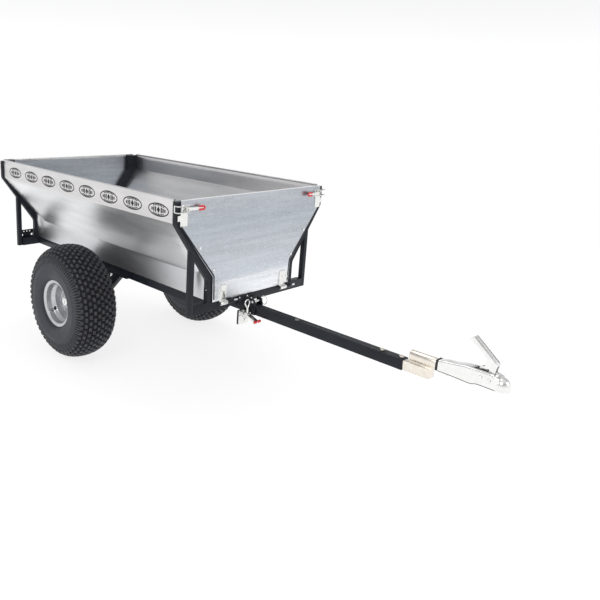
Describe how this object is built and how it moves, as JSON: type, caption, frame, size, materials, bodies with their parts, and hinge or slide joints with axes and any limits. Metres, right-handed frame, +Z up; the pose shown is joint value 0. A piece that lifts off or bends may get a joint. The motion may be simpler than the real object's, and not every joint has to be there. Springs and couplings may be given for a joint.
{
  "type": "tipping utility trailer",
  "caption": "Tipping utility trailer: galvanised tub with drop-down end gates on a black frame, large knobbly tyres, square drawbar and swivelling ball coupler with latches.",
  "frame": {"origin": "on the ground, under the middle of the whole trailer's length and width", "axes": "+X forward along the drawbar to the coupler, +Y to the trailer's left, +Z up"},
  "size_m": [2.6236, 1.047, 0.9049],
  "materials": {
    "galvanised_sheet": "galvanised, softly reflective",
    "frame_black": "satin black powder coat",
    "zinc_plate": "bright zinc plate",
    "wheel_silver": "silver paint, satin",
    "axle_steel": "oiled steel",
    "tyre_rubber": "matt rubber",
    "valve_rubber": "matt rubber",
    "red_grip": "soft moulded plastic"
  },
  "bodies": {
    "drawbar": {"drawbar_tube": "frame_black", "drawbar_pivot": "frame_black", "tip_bracket": "frame_black", "saddle_pin": "zinc_plate", "tip_latch_base": "zinc_plate", "swivel_block": "zinc_plate"},
    "bed": {"frame_rails": "frame_black", "front_crossbeam": "frame_black", "rear_crossbeam": "frame_black", "floor_bearers": "frame_black", "rib_front_left": "frame_black", "rib_front_right": "frame_black", "rib_rear_left": "frame_black", "rib_rear_right": "frame_black", "front_posts": "frame_black", "rear_posts": "frame_black", "side_sheet_left": "galvanised_sheet", "side_sheet_right": "galvanised_sheet", "floor_sheet": "galvanised_sheet", "light_plates": "frame_black", "axle_struts": "frame_black", "stub_axles": "axle_steel", "pivot_tube": "axle_steel", "hinge_barrels": "frame_black", "tip_catch": "frame_black", "frame_bolts": "zinc_plate"},
    "front_gate": {"front_gate_panel": "galvanised_sheet", "front_gate_hinges": "zinc_plate", "front_latch_bases": "zinc_plate"},
    "rear_gate": {"rear_gate_panel": "galvanised_sheet", "rear_gate_hinges": "zinc_plate", "rear_latch_bases": "zinc_plate"},
    "wheel_left": {"tyre_left": "tyre_rubber", "rim_left": "wheel_silver", "hub_left": "wheel_silver", "hub_cap_left": "zinc_plate", "valve_left": "valve_rubber"},
    "wheel_right": {"tyre_right": "tyre_rubber", "rim_right": "wheel_silver", "hub_right": "wheel_silver", "hub_cap_right": "zinc_plate", "valve_right": "valve_rubber"},
    "latch_lever_front_left": {"lever_front_left": "zinc_plate", "grip_front_left": "red_grip"},
    "latch_loop_front_left": {"loop_front_left": "zinc_plate"},
    "latch_lever_front_right": {"lever_front_right": "zinc_plate", "grip_front_right": "red_grip"},
    "latch_loop_front_right": {"loop_front_right": "zinc_plate"},
    "latch_lever_rear_left": {"lever_rear_left": "zinc_plate", "grip_rear_left": "red_grip"},
    "latch_loop_rear_left": {"loop_rear_left": "zinc_plate"},
    "latch_lever_rear_right": {"lever_rear_right": "zinc_plate", "grip_rear_right": "red_grip"},
    "latch_loop_rear_right": {"loop_rear_right": "zinc_plate"},
    "tip_lever": {"lever_tip": "zinc_plate", "grip_tip": "red_grip"},
    "tip_loop": {"loop_tip": "zinc_plate"},
    "coupler": {"coupler_shell": "zinc_plate", "coupler_rivets": "zinc_plate"},
    "coupler_handle": {"coupler_handle": "zinc_plate"},
    "coupler_jaw": {"coupler_jaw": "zinc_plate"}
  },
  "joints": [
    {"name": "tip", "type": "hinge", "parent": "drawbar", "child": "bed", "pos_m": [-0.63375, 0, 0.386], "axis": [0, -1, 0], "range_deg": [0, 35]},
    {"name": "wheel_left_spin", "type": "hinge", "parent": "bed", "child": "wheel_left", "pos_m": [-0.63375, 0.416, 0.28], "axis": [0, 1, 0], "continuous": true},
    {"name": "wheel_right_spin", "type": "hinge", "parent": "bed", "child": "wheel_right", "pos_m": [-0.63375, -0.416, 0.28], "axis": [0, 1, 0], "continuous": true},
    {"name": "front_gate_hinge", "type": "hinge", "parent": "bed", "child": "front_gate", "pos_m": [0.19175, 0, 0.448], "axis": [0, 1, 0], "range_deg": [0, 90]},
    {"name": "rear_gate_hinge", "type": "hinge", "parent": "bed", "child": "rear_gate", "pos_m": [-1.30125, 0, 0.448], "axis": [0, -1, 0], "range_deg": [0, 120]},
    {"name": "latch_lever_front_left", "type": "hinge", "parent": "front_gate", "child": "latch_lever_front_left", "pos_m": [0.19475, 0.4125, 0.869], "axis": [0, 0, 1], "range_deg": [0, 150]},
    {"name": "latch_loop_front_left", "type": "hinge", "parent": "latch_lever_front_left", "child": "latch_loop_front_left", "pos_m": [0.19275, 0.4005, 0.869], "axis": [0, 0, 1], "range_deg": [-150, 0]},
    {"name": "latch_lever_front_right", "type": "hinge", "parent": "front_gate", "child": "latch_lever_front_right", "pos_m": [0.19475, -0.4125, 0.869], "axis": [0, 0, -1], "range_deg": [0, 150]},
    {"name": "latch_loop_front_right", "type": "hinge", "parent": "latch_lever_front_right", "child": "latch_loop_front_right", "pos_m": [0.19275, -0.4005, 0.869], "axis": [0, 0, -1], "range_deg": [-150, 0]},
    {"name": "latch_lever_rear_left", "type": "hinge", "parent": "rear_gate", "child": "latch_lever_rear_left", "pos_m": [-1.30425, 0.4125, 0.869], "axis": [0, 0, -1], "range_deg": [0, 150]},
    {"name": "latch_loop_rear_left", "type": "hinge", "parent": "latch_lever_rear_left", "child": "latch_loop_rear_left", "pos_m": [-1.30225, 0.4005, 0.869], "axis": [0, 0, -1], "range_deg": [-150, 0]},
    {"name": "latch_lever_rear_right", "type": "hinge", "parent": "rear_gate", "child": "latch_lever_rear_right", "pos_m": [-1.30425, -0.4125, 0.869], "axis": [0, 0, 1], "range_deg": [0, 150]},
    {"name": "latch_loop_rear_right", "type": "hinge", "parent": "latch_lever_rear_right", "child": "latch_loop_rear_right", "pos_m": [-1.30225, -0.4005, 0.869], "axis": [0, 0, 1], "range_deg": [-150, 0]},
    {"name": "tip_latch_lever", "type": "hinge", "parent": "drawbar", "child": "tip_lever", "pos_m": [0.20025, -0.045, 0.36], "axis": [0, 1, 0], "range_deg": [0, 65]},
    {"name": "tip_latch_loop", "type": "hinge", "parent": "tip_lever", "child": "tip_loop", "pos_m": [0.20325, -0.045, 0.372], "axis": [0, 1, 0], "range_deg": [-7, 50]},
    {"name": "coupler_swivel", "type": "hinge", "parent": "drawbar", "child": "coupler", "pos_m": [1.06275, 0, 0.43], "axis": [1, 0, 0], "continuous": true},
    {"name": "coupler_handle_hinge", "type": "hinge", "parent": "coupler", "child": "coupler_handle", "pos_m": [1.24875, 0, 0.443], "axis": [0, -1, 0], "range_deg": [0, 45]},
    {"name": "coupler_jaw_hinge", "type": "hinge", "parent": "coupler", "child": "coupler_jaw", "pos_m": [1.22175, 0, 0.445], "axis": [0, -1, 0], "range_deg": [0, 11.25]}
  ],
  "couplings": [
    {"joint": "latch_loop_front_left", "follows": "latch_lever_front_left", "ratio": -1},
    {"joint": "latch_loop_front_right", "follows": "latch_lever_front_right", "ratio": -1},
    {"joint": "latch_loop_rear_left", "follows": "latch_lever_rear_left", "ratio": -1},
    {"joint": "latch_loop_rear_right", "follows": "latch_lever_rear_right", "ratio": -1},
    {"joint": "coupler_jaw_hinge", "follows": "coupler_handle_hinge", "ratio": 0.25}
  ]
}
